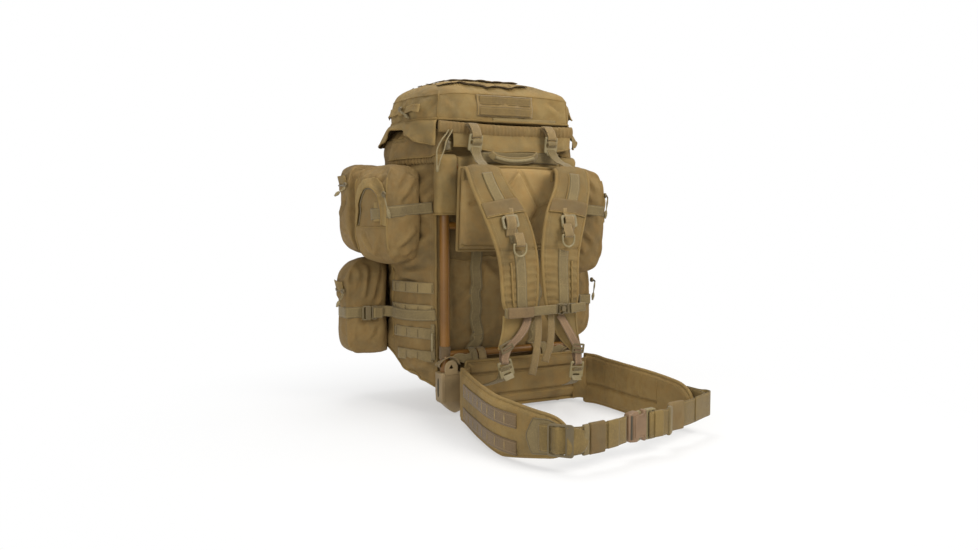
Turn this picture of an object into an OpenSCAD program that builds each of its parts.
// Large external-frame field pack: tube frame, open-topped main bag, lid,
// side and corner pockets, shoulder harness and a buckled hip belt.
// X runs left to right seen from the harness, +Y runs from the wearer into
// the bag, +Z is up. Origin: floor level, at the middle of the pack's outline.
// Before placed() moves a piece, its Y is measured from the frame tubes' plane.
// The harness side is -Y and the far side +Y. All sizes in millimetres.

/* [Frame] */
// Distance from the centre plane to each side tube
tube_x = 159; // [150:1:165]
// Outside radius of the frame tube
tube_radius = 11; // [9:0.5:12]
// Wall of the frame tube
tube_wall = 1.6; // [1:0.2:2.5]
// Height of the frame's top bar
frame_top = 556; // [548:1:562]
// Bend radius at the frame's top corners
bend_radius = 45; // [30:1:60]
// Height of the lower crossbar
lower_bar_z = 132; // [125:1:140]

/* [Bag] */
// Height of the bag's top edge
bag_top = 618; // [600:1:620]
// Height of the lid's seam
lid_z = 650; // [648:1:660]
// Height of the lid pocket's side wall
lid_height = 72; // [50:1:80]

/* [Webbing] */
// Width of narrow webbing
web_width = 25.4; // [20:0.1:28]
// Width of belt webbing
belt_web_width = 50; // [38:1:52]
// Thickness of webbing
web_thick = 1.8; // [1:0.1:2.5]

/* [Belt] */
// Thickness of the belt padding
fin_thick = 18; // [10:1:20]
// Angle of the belt buckle in plan
buckle_angle = 8.3; // [5:0.1:12]

/* [Hidden] */
$fn = 48;

fit = 0.06; // radial clearance round tubes and bars
centre_y = 99.795; // from the outline's middle to the frame tubes' plane

// Colours
cloth = [0.50, 0.41, 0.25];
dark_cloth = [0.44, 0.36, 0.22];
webbing = [0.46, 0.41, 0.31];
bronze = [0.55, 0.36, 0.20];
plastic = [0.48, 0.44, 0.33];
dark = [0.28, 0.24, 0.17];

// ================= outlines and paths =================
function unit(v) = v / norm(v);
// unit normal to the right of the direction from one point to the next
function normal(from, to) = let (along = unit(to - from)) [along[1], -along[0]];
// a path moved to its right by a distance, mitred at the corners
function shift(path, distance) = [for (i = [0 : len(path) - 1])
  let (
    before = i > 0 ? normal(path[i - 1], path[i]) : normal(path[0], path[1]),
    after = i < len(path) - 1 ? normal(path[i], path[i + 1]) : before,
    mitre = unit(before + after)
  ) path[i] + mitre * distance / (mitre * before)];
function reversed(path) = [for (i = [len(path) - 1 : -1 : 0]) path[i]];
function mirrored(path) = [for (p = path) [-p[0], p[1]]];
// a closed outline from its +X half
function whole(half) = concat(half, mirrored(reversed(half)));
// an outline scaled about [0, mid_y]
function scaled(outline, factor, mid_y) =
  [for (p = outline) [p[0] * factor, mid_y + (p[1] - mid_y) * factor]];
// the outline between two shifted copies of a path
function ribbon(path, near, far) = concat(shift(path, near), reversed(shift(path, far)));

// ================= shared modules =================
module placed() translate([0, centre_y, 0]) children();
module both() {
  children();
  mirror([1, 0, 0]) children();
}
// [x, y] outline between two heights
module slab(outline, bottom, top)
  translate([0, 0, bottom]) linear_extrude(top - bottom) polygon(outline);
// ribbon along an [x, y] path, standing between two heights
module wall(path, near, far, bottom, top) slab(ribbon(path, near, far), bottom, top);
// [x, z] shape given depth towards -Y
module face(depth) rotate([90, 0, 0]) linear_extrude(depth) children();
// [y, z] shape given width towards +X
module side(width) rotate([90, 0, 90]) linear_extrude(width) children();
// box centred on X = 0
module box(size, y, z) translate([-size[0] / 2, y, z]) cube(size);
module pipe(length, radius) difference() {
  cylinder(h = length, r = radius);
  translate([0, 0, -1]) cylinder(h = length + 2, r = radius - tube_wall);
}

// ================= frame =================
corner_x = tube_x - bend_radius; // centres of the top bends
corner_z = frame_top - bend_radius;
tube_bottom = 56;
boot_depth = 31.4;
boot_far_y = 15;
sleeve_top = frame_top + 22;
sleeve_bottom = 445;

module elbow() rotate([90, 0, 0]) rotate_extrude(angle = 90) translate([bend_radius, 0]) difference() {
  circle(r = tube_radius);
  circle(r = tube_radius - tube_wall);
}
module frame_hoop() placed() color(bronze) {
  both() {
    translate([tube_x, 0, tube_bottom]) pipe(corner_z - tube_bottom, tube_radius);
    translate([corner_x, 0, corner_z]) elbow();
  }
  translate([-corner_x, 0, frame_top]) rotate([0, 90, 0]) pipe(2 * corner_x, tube_radius);
}
// a bar coped onto the side tubes
module crossbar(z, radius) color(bronze) difference() {
  translate([-tube_x, 0, z]) rotate([0, 90, 0]) pipe(2 * tube_x, radius);
  both() translate([tube_x, 0, z - 30]) cylinder(h = 60, r = tube_radius + fit);
}
module lower_crossbar() placed() crossbar(lower_bar_z, 9);
module middle_crossbar() placed() crossbar(421, 8);
module upper_crossbar() placed() crossbar(480, 8);

// boot over the tube's foot; outline as [x, z]
module boot() difference() {
  translate([0, boot_far_y, 0]) face(boot_depth)
    polygon([[106, 92], [106, 50], [116, 0], [152, 0], [176, 58], [176, 92]]);
  translate([tube_x, 0, tube_bottom - 0.1]) cylinder(h = 40, r = tube_radius + fit);
}
module foot_boot_right() placed() color(dark_cloth) boot();
module foot_boot_left() placed() color(dark_cloth) mirror([1, 0, 0]) boot();
// round-topped tongue with a three-cornered eye, on the harness side of each boot
module boot_tongues() placed() color(dark_cloth)
  both() translate([141, boot_far_y - boot_depth - 0.5, 0]) face(3) difference() {
    union() {
      translate([-15, 62]) square([30, 42]);
      translate([0, 104]) circle(r = 15);
    }
    translate([0, 105]) rotate(90) circle(r = 8, $fn = 3);
  }
// cloth pocket over the frame's top, cut away low in the middle of the harness side
module frame_sleeve() placed() color(cloth) difference() {
  box([364, 32, sleeve_top - sleeve_bottom], -16, sleeve_bottom);
  box([356, 25.2, sleeve_top - 4 - 400], -12.6, 400);
  box([252, 17.5, 90], -30, 400);
}

// ================= bag =================
bag_mid_y = 163;
// [x, y], right half from the harness-side corner to the far side
bag_half = [[173, 18], [205, 70], [225, 150], [205, 240], [120, 300], [40, 311]];
bag_plan = whole(bag_half);
// [y, z] of the sloping underside, from the far side to the harness side
underside = [[400, 163], [312, 140], [170, 112], [100, 74], [18, 38], [-50, 18]];
floor_thick = 6;
cord_lock_at = [-150, 0, 586];

// everything below the underside line, raised by a given height
module below_bag(rise) translate([-300, 0, 0]) side(600)
  polygon(concat([[-50, 0], [400, 0]], [for (p = underside) p + [0, rise]]));
module main_bag() placed() color(cloth) difference() {
  slab(bag_plan, 33, bag_top);
  below_bag(0);
  // hollow, open at the top
  difference() {
    slab(scaled(bag_plan, 0.972, bag_mid_y), 30, bag_top + 30);
    below_bag(floor_thick);
  }
}
// ring following the bag's plan, from the outer to the inner scale
module mouth_ring(outer, inner, bottom, top) difference() {
  slab(scaled(bag_plan, outer, bag_mid_y), bottom, top);
  slab(scaled(bag_plan, inner, bag_mid_y), bottom - 1, top + 1);
}
// collar standing over the bag's mouth, and the cord above it
module snow_collar() placed() color(dark_cloth)
  mouth_ring(0.95, 0.925, bag_top + 0.6, bag_top + 16.6);
module collar_cord() placed() color(dark)
  mouth_ring(0.942, 0.918, bag_top + 20, bag_top + 24);

// cord lock by the left harness-side corner of the mouth, with a cross hole for the cord
module cord_hole(z, radius) translate([0, 10, z]) rotate([90, 0, 0]) cylinder(h = 20, r = radius);
module cord_lock_body() placed() color(plastic) translate(cord_lock_at) difference() {
  cylinder(h = 20, r = 7.5);
  translate([0, 0, 4]) cylinder(h = 20, r = 5.2);
  cord_hole(8, 2.2);
}
module cord_lock_plunger() placed() color(dark) translate(cord_lock_at) difference() {
  union() {
    translate([0, 0, 8.5]) cylinder(h = 14, r = 5.14);
    translate([0, 0, 24]) cylinder(h = 2, r = 6.4);
    translate([0, 0, 22]) cylinder(h = 2.5, r = 4);
  }
  cord_hole(14, 2);
}

// ================= pads on the frame =================
// outlines as [x, z]
back_pad_face = [[-148, 367], [148, 367], [141, 548], [-141, 548]];
lumbar_face = [[-120, 20], [170, 20], [174, 60], [166, 116], [-116, 116], [-124, 60]];

module back_pad() placed() color(cloth) translate([0, -34, 0]) face(22) polygon(back_pad_face);
module lumbar_pad() placed() color(cloth) translate([0, -20.4, 0]) face(16) polygon(lumbar_face);
// two upright bands between the frame and the bag
module back_webbing() placed() color(webbing) for (x = [-84, 72])
  translate([x, 14.6, 150]) cube([web_width, web_thick, 215]);

// ================= pockets on the bag's sides =================
// plans and paths are [x, y] on the left side
pouch_plan = [[-196, 48], [-285, 20], [-321, 138], [-229, 150], [-209, 70]];
pouch_top = 553;
lower_extra = 10; // how much further out the lower corner pockets reach
function corner_plan(extra) = [[-230, 154], [-328 - extra, 154], [-320 - extra, 240],
  [-262, 300], [-190, 318], [-128, 304], [-210, 244]];

module side_pouch_left() placed() color(cloth) slab(pouch_plan, 335, pouch_top);
// the right one reaches lower
module side_pouch_right() placed() color(cloth) mirror([1, 0, 0]) slab(pouch_plan, 297, pouch_top);
module upper_pocket() color(cloth) slab(corner_plan(0), 350, 560);
module upper_corner_pocket_left() placed() upper_pocket();
module upper_corner_pocket_right() placed() mirror([1, 0, 0]) upper_pocket();
module lower_pocket() color(cloth) slab(corner_plan(lower_extra), 122, 342);
module lower_corner_pocket_left() placed() lower_pocket();
module lower_corner_pocket_right() placed() mirror([1, 0, 0]) lower_pocket();

// rows of webbing on the bag's side, from the harness-side corner to the side seam
left_side = mirrored([for (i = [0 : 2]) bag_half[i]]);
row_tops = [293, 242, 190, 138];
row_gap = 0.9; // between the rows and the bag
module pals() for (top = row_tops)
  wall(left_side, -row_gap - web_thick, -row_gap, top - web_width, top);
module pals_panel_left() placed() color(webbing) pals();
module pals_panel_right() placed() color(webbing) mirror([1, 0, 0]) pals();

// straps from the frame round the pockets
lower_path = [[-176, 6], [-180.5, 16], [-211.5, 68.5], [-233, 144], [-240, 151],
  [-331 - lower_extra, 151], [-323 - lower_extra, 241]];
upper_path = [[-176, 20], [-197, 44.5], [-287.5, 16], [-298, 51.7]];
lower_strap_z = 208;
upper_strap_z = 437;
slot_plate = [38, 4, 34];

module compression_straps() placed() color(webbing) both() {
  wall(lower_path, -web_thick, 0, lower_strap_z, lower_strap_z + web_width);
  wall(upper_path, -web_thick, 0, upper_strap_z, upper_strap_z + web_width);
}
// two-slot plate beside each lower strap, centred on its width
module compression_buckles() placed() color(plastic)
  both() translate([-282, 145.6, lower_strap_z + web_width / 2]) difference() {
    cube(slot_plate, center = true);
    for (s = [-1, 1]) translate([s * slot_plate[0] * 0.2, 0, 0])
      cube([slot_plate[0] * 0.14, slot_plate[1] + 2, slot_plate[2] * 0.76], center = true);
  }

// ================= harness =================
// side view of a shoulder strap, as [y, z] along its middle
strap_side = [[-66, 522], [-80, 546], [-97, 539], [-112, 505], [-130, 440], [-143, 356],
  [-150, 262], [-151, 232]];
// [x, z] outline of the right strap
strap_face = [[72, 566], [151, 566], [147, 500], [122, 430], [100, 356], [93, 262],
  [80, 228], [22, 228], [10, 262], [6, 356], [18, 430], [58, 500]];
strap_thick = 16;

module shoulder_strap() intersection() {
  side(200) polygon(ribbon(strap_side, -strap_thick / 2, strap_thick / 2));
  face(200) polygon(strap_face);
}
module shoulder_strap_right() placed() color(cloth) shoulder_strap();
module shoulder_strap_left() placed() color(cloth) mirror([1, 0, 0]) shoulder_strap();
// flat webbing bands across the wearer's side of each strap
module strap_keepers() placed() color(webbing) both() {
  translate([24, -166.6, 262]) cube([56, 4, web_width]);
  translate([52, -148, 458]) rotate([14, 0, 0]) cube([64, 3, 30]);
}

// D-rings, each with its bar on the local X axis
ring_left = [-62, -167, 384];
ring_right = [60, -165, 402];
bar_radius = 2;
// straight-sided top over a round bottom
module ring_outline(radius, height) {
  translate([-radius, -10]) square([2 * radius, height]);
  translate([0, -10]) circle(r = radius);
}
module d_ring() color(plastic) {
  translate([-15, 0, 0]) rotate([0, 90, 0]) cylinder(h = 30, r = bar_radius);
  translate([0, 2, 0]) face(4) difference() {
    ring_outline(17, 12);
    ring_outline(13, 20);
  }
}
module d_ring_left() placed() translate(ring_left) d_ring();
module d_ring_right() placed() translate(ring_right) d_ring();
// blocks of webbing seated over the rings' bars
module ring_holders() placed() color(webbing)
  for (at = [ring_left, ring_right]) translate(at) difference() {
    box([24, 8, 26], -3.4, -2);
    translate([-20, 0, 0]) rotate([0, 90, 0]) cylinder(h = 40, r = bar_radius + fit);
    box([40, 12, 6], -6, -6);
  }

// slotted strap adjuster with a lip at its bottom; its hinge bar is on the local X axis
module ladder_lock(width) color(plastic) difference() {
  union() {
    box([width + 8, 5, 36], -2.5, -36);
    translate([-width / 2 - 4, 0, 0]) rotate([0, 90, 0]) cylinder(h = width + 8, r = 2.5);
    box([width, 7, 4], -8.5, -36);
  }
  for (z = [-9, -19, -29]) box([width, 24, 5], -12, z - 2.5);
}
// [x, z] of the hinge bar of each strap lock
lock_left = [-92, 134];
lock_right = [94, 118];
lock_y = -152;
lifter_lock_at = [97, -34, 618];
above_bar = 3.6; // from a lock's hinge bar up to the end of its webbing
module strap_lock(at) translate([at[0], lock_y, at[1]]) ladder_lock(26);
module strap_lock_right() placed() strap_lock(lock_right);
module strap_lock_left() placed() strap_lock(lock_left);
module lifter_lock() translate(lifter_lock_at) ladder_lock(24);
module lifter_lock_right() placed() lifter_lock();
// shifted rather than mirrored; the lock is symmetrical
module lifter_lock_left() placed() translate([-2 * lifter_lock_at[0], 0, 0]) lifter_lock();

// webbing above each lifter lock, and a bent length lower down towards the strap
module lifter_straps() placed() color(webbing)
  both() translate([lifter_lock_at[0] - web_width / 2, 0, 0]) {
    translate([0, -35, lifter_lock_at[2] + above_bar]) cube([web_width, web_thick, 19]);
    side(web_width) polygon(ribbon([[-40, 577], [-60, 563], [-78, 561]], -web_thick, 0));
  }
// webbing from a shoulder strap down to its lock, and a slanting length towards the
// frame's foot that starts at foot_z
module lower_strap(strap_x, lock, foot_z, tilt, turn) {
  half = web_width / 2;
  lock_top = lock[1] + above_bar;
  translate([0, -151.2, 0]) face(web_thick) polygon([[strap_x - half, 223.6],
    [strap_x + half, 223.6], [lock[0] + half, lock_top], [lock[0] - half, lock_top]]);
  translate([lock[0], -146, foot_z]) rotate([tilt, 0, turn]) box([web_width, 96, web_thick], 0, 0);
}
module lower_straps() placed() color(webbing) {
  lower_strap(-58, lock_left, foot_z = 92, tilt = -18, turn = 20.5);
  lower_strap(58, lock_right, foot_z = 78, tilt = -13, turn = -23.7);
}
// round bar across the middle with a flat band below it
module grab_handle() placed() color(webbing) {
  translate([-62, -29, 582]) rotate([0, 90, 0]) cylinder(h = 124, r = 2.4);
  box([124, 3.2, 19], -30.6, 562);
}

// ================= lid =================
// [x, y], right half from the harness side to the far side
lid_half = [[172, 10], [203, 60], [208, 130], [200, 210], [165, 268], [90, 296]];
lid_plan = whole(lid_half);
lid_top = lid_z + lid_height + 20;
lid_web_z = lid_top + 0.4;
// [x, y] round the lid's sides and far side
skirt_path = [[-205, 66], [-229, 145], [-210, 243], [-124, 306], [0, 318],
  [124, 306], [210, 243], [229, 145], [205, 66]];

module lid_pocket() placed() color(cloth) {
  slab(lid_plan, lid_z, lid_z + lid_height);
  slab(scaled(lid_plan, 0.86, 150), lid_z + lid_height - 1, lid_top);
}
module lid_skirt() placed() color(dark_cloth) wall(skirt_path, -3.6, -1.2, 612, lid_z - 0.6);
module lid_webbing() placed() color(webbing) {
  for (x = [-101, 101])
    translate([x, 0, 0]) box([web_width, 230, web_thick], 30, lid_web_z);
  for (y = [60 : 40 : 220]) box([172, web_width, web_thick], y, lid_web_z);
}
module loop_patch() placed() color(dark) box([140, 3, 48], 6.4, lid_z + 18);

// ================= zip sliders =================
// body with a pull hanging down on its -Y face
module slider() color(plastic) difference() {
  union() {
    box([12, 6, 10], -3, -5);
    box([5, 3, 26], -4.5, -24);
  }
  box([6, 6, 4], -6, -21);
}
module lid_zip_slider() placed() translate([-212, 120, lid_z + 34]) rotate([0, 0, -90]) slider();
// on the pouch's outer face
module pouch_slider() translate([-294, 24, 490]) rotate([0, 0, -73]) translate([0, -3.6, 0]) slider();
module side_pouch_slider_left() placed() pouch_slider();
module side_pouch_slider_right() placed() mirror([1, 0, 0]) pouch_slider();
// on a corner pocket's outer face
module corner_slider(extra, z) translate([-334 - extra, 162, z]) rotate([0, 0, -95.3]) slider();
module upper_corner_slider_left() placed() corner_slider(0, 512);
module upper_corner_slider_right() placed() mirror([1, 0, 0]) corner_slider(0, 512);
module lower_corner_slider_left() placed() corner_slider(lower_extra, 270);
module lower_corner_slider_right() placed() mirror([1, 0, 0]) corner_slider(lower_extra, 270);

// ================= sternum strap =================
sternum_y = -172;
sternum_x = 26; // right end of the left strap, inside the buckle
sternum_web = [1.6, 19]; // thickness, height
module sternum_web(from_x, to_x, y)
  translate([from_x, y, 232]) cube([to_x - from_x, sternum_web[0], sternum_web[1]]);
module at_sternum(x) translate([sternum_x + x, sternum_y - 2.6, 228.5]) children();
module sternum_strap_left() placed() color(webbing) sternum_web(-98, sternum_x, sternum_y);
module sternum_strap_right() placed() color(webbing)
  sternum_web(sternum_x + 34, 90, sternum_y - 4.9);
module sternum_buckle_female() placed() color(plastic) at_sternum(0.4) difference() {
  cube([27, 8, 26]);
  translate([9, 1.5, 3]) cube([20, 5, 20]);
}
module sternum_buckle_male() placed() color(plastic) at_sternum(27.8) {
  cube([23, 8, 26]);
  for (z = [5, 18]) translate([-16, 2.6, z]) cube([16.5, 2.8, 3]);
}

// ================= hip belt =================
// [x, y] along the middle of each fin, from the frame to the tip
fin_left = [[-152, -72], [-160, -110], [-190, -230], [-210, -354], [-190, -448], [-156, -500]];
fin_right = [[188, -44], [204, -90], [205, -243], [215, -330], [217, -392]];
// [x, y] along one face of each belt web; both run towards +X or round to the right fin
web_left = [[-206, -236], [-224, -356], [-202, -456], [-160, -517], [-118, -519],
  [-72, -513], [-34, -501]];
web_right = [[23, -496.2], [74, -488.8], [98, -464], [150, -454], [222, -419],
  [230, -384], [226, -330]];
belt_web_z = 37;

// a fin cut to its side view, which narrows from taper_y to tip_y
module belt_fin(path, taper_y, tip_y) intersection() {
  wall(path, -fin_thick / 2, fin_thick / 2, 0, 125);
  translate([-400, 0, 0]) side(800) polygon([[20, 4], [-60, 0], [taper_y, 4], [tip_y, 30],
    [tip_y, 94], [taper_y, 107], [-60, 118], [20, 116]]);
}
module belt_fin_left() placed() color(cloth) belt_fin(fin_left, -360, -520);
module belt_fin_right() placed() color(cloth) belt_fin(fin_right, -240, -400);
module belt_web(path) wall(path, 0, 2.2, belt_web_z, belt_web_z + belt_web_width);
module belt_webbing_left() placed() color(webbing) belt_web(web_left);
module belt_webbing_right() placed() color(webbing) belt_web(web_right);

module at_buckle() translate([8, -491, belt_web_z + belt_web_width / 2])
  rotate([0, 0, buckle_angle]) children();
module belt_buckle_female() placed() color(plastic) at_buckle() difference() {
  translate([-38, -7.5, -29]) cube([46, 15, 58]);
  // socket, web slot, and a notch in the top and bottom edges
  translate([-22, -5, -23]) cube([40, 10, 46]);
  translate([-34, -20, -25]) cube([6, 40, 50]);
  for (s = [-1, 1]) translate([-12, -20, s * 30 - 6]) cube([14, 40, 12]);
}
// slotted plate with three prongs, the middle one longer
module belt_buckle_male() placed() color(plastic) at_buckle() {
  difference() {
    translate([9, -6, -29]) cube([26, 12, 58]);
    for (x = [15, 25]) translate([x, -20, -25]) cube([5, 40, 50]);
  }
  for (s = [-1, 1]) translate([-17, -1.8, s * 15 - 3]) cube([26.5, 3.6, 6]);
  translate([-19, -1.8, -3]) cube([28.5, 3.6, 6]);
}

frame_hoop();
lower_crossbar();
middle_crossbar();
upper_crossbar();
foot_boot_left();
foot_boot_right();
boot_tongues();
frame_sleeve();
main_bag();
snow_collar();
collar_cord();
cord_lock_body();
cord_lock_plunger();
back_pad();
lumbar_pad();
back_webbing();
side_pouch_left();
side_pouch_right();
upper_corner_pocket_left();
upper_corner_pocket_right();
lower_corner_pocket_left();
lower_corner_pocket_right();
pals_panel_left();
pals_panel_right();
compression_straps();
compression_buckles();
shoulder_strap_left();
shoulder_strap_right();
strap_keepers();
lifter_straps();
lower_straps();
lid_pocket();
lid_skirt();
lid_webbing();
loop_patch();
lid_zip_slider();
grab_handle();
side_pouch_slider_left();
side_pouch_slider_right();
upper_corner_slider_left();
upper_corner_slider_right();
lower_corner_slider_left();
lower_corner_slider_right();
d_ring_left();
d_ring_right();
ring_holders();
strap_lock_left();
strap_lock_right();
lifter_lock_left();
lifter_lock_right();
sternum_strap_left();
sternum_strap_right();
sternum_buckle_female();
sternum_buckle_male();
belt_fin_left();
belt_fin_right();
belt_webbing_left();
belt_webbing_right();
belt_buckle_female();
belt_buckle_male();
